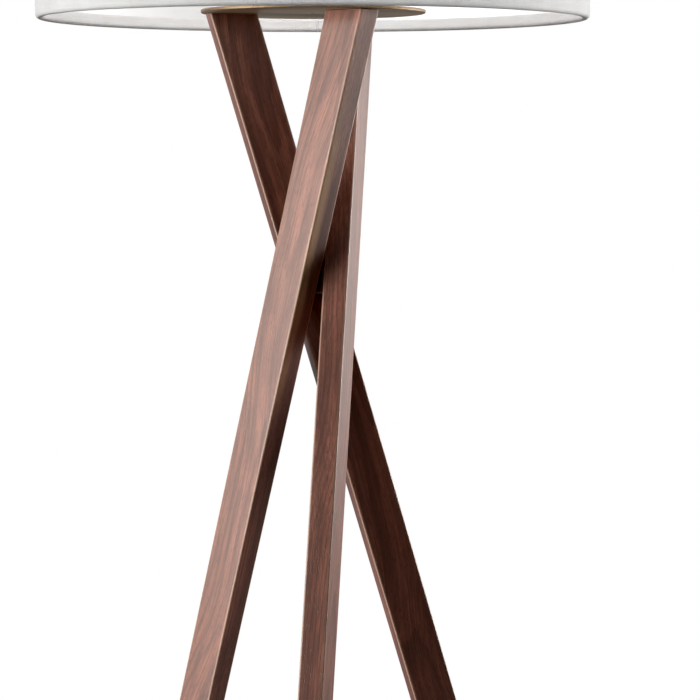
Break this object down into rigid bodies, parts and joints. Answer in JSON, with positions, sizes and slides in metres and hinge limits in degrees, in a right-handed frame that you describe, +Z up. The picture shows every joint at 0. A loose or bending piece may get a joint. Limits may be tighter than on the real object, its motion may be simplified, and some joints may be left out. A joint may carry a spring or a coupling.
{
  "type": "tripod floor lamp",
  "caption": "Floor lamp on crossed, leaning wooden legs with level ends, a round metal head plate and a straight fabric drum shade held by a harp and finial.",
  "frame": {"origin": "on the floor, at the middle of the lamp's whole footprint; the lamp's own vertical axis stands at x = -0.0142, y = 0.0248", "axes": "+Z up along the lamp; +Y is the direction in which the lamp is seen from its front, with one leg running down to the left in front; +X to the viewer's right"},
  "size_m": [0.5357, 0.5573, 1.4892],
  "materials": {
    "leg_wood": "satin oiled walnut",
    "dowel_wood": "plain beech",
    "plate_metal": "satin nickel",
    "fastener_steel": "zinc plated",
    "lamp_brass": "lacquered brass",
    "moulded_black": "moulded phenolic",
    "glide_plastic": "nylon",
    "insulating_card": "fibre card",
    "bulb_glass": "frosted",
    "bulb_metal": "bright",
    "shade_linen": "slubbed linen",
    "shade_liner": "white styrene",
    "shade_wire": "white enamel"
  },
  "bodies": {
    "stand": {"leg_a": "leg_wood", "leg_b": "leg_wood", "leg_c": "leg_wood", "hub_block": "leg_wood", "hub_dowel_a": "dowel_wood", "hub_dowel_b": "dowel_wood", "hub_dowel_c": "dowel_wood", "foot_glide_a": "glide_plastic", "foot_glide_b": "glide_plastic", "foot_glide_c": "glide_plastic", "head_plate": "plate_metal", "leg_screw_a1": "fastener_steel", "leg_screw_a2": "fastener_steel", "leg_screw_b1": "fastener_steel", "leg_screw_b2": "fastener_steel", "leg_screw_c1": "fastener_steel", "leg_screw_c2": "fastener_steel", "cord_bushing": "moulded_black", "threaded_nipple": "lamp_brass", "hex_nut": "lamp_brass", "lock_washer": "fastener_steel", "harp_saddle": "lamp_brass", "harp": "lamp_brass", "socket_cap": "lamp_brass", "socket_shell": "lamp_brass", "insulating_sleeve": "insulating_card", "socket_body": "moulded_black", "screw_shell": "lamp_brass", "centre_contact": "lamp_brass", "bulb_glass": "bulb_glass", "bulb_base": "bulb_metal", "bulb_insulator": "moulded_black", "bulb_tip": "bulb_metal"},
    "shade": {"shade_cover": "shade_linen", "shade_liner": "shade_liner", "shade_top_ring": "shade_wire", "spider_washer": "shade_wire", "spider_arm_a": "shade_wire", "spider_arm_b": "shade_wire", "spider_arm_c": "shade_wire", "shade_bottom_ring": "shade_wire"},
    "finial": {"finial": "plate_metal"},
    "switch_key": {"switch_key": "moulded_black"},
    "harp_sleeve_left": {"harp_sleeve_left": "lamp_brass"},
    "harp_sleeve_right": {"harp_sleeve_right": "lamp_brass"}
  },
  "joints": [
    {"name": "shade_turn", "type": "hinge", "parent": "stand", "child": "shade", "pos_m": [-0.0142, 0.0248, 1.4631], "axis": [0, 0, 1], "continuous": true},
    {"name": "finial_turn", "type": "hinge", "parent": "stand", "child": "finial", "pos_m": [-0.0142, 0.0248, 1.4742], "axis": [0, 0, 1], "continuous": true},
    {"name": "switch_turn", "type": "hinge", "parent": "stand", "child": "switch_key", "pos_m": [-0.0142, 0, 1.2177], "axis": [0, -1, 0], "continuous": true},
    {"name": "sleeve_lift_left", "type": "slide", "parent": "stand", "child": "harp_sleeve_left", "axis": [0, 0, 1], "range_m": [0, 0.012]},
    {"name": "sleeve_lift_right", "type": "slide", "parent": "stand", "child": "harp_sleeve_right", "axis": [0, 0, 1], "range_m": [0, 0.012]}
  ]
}
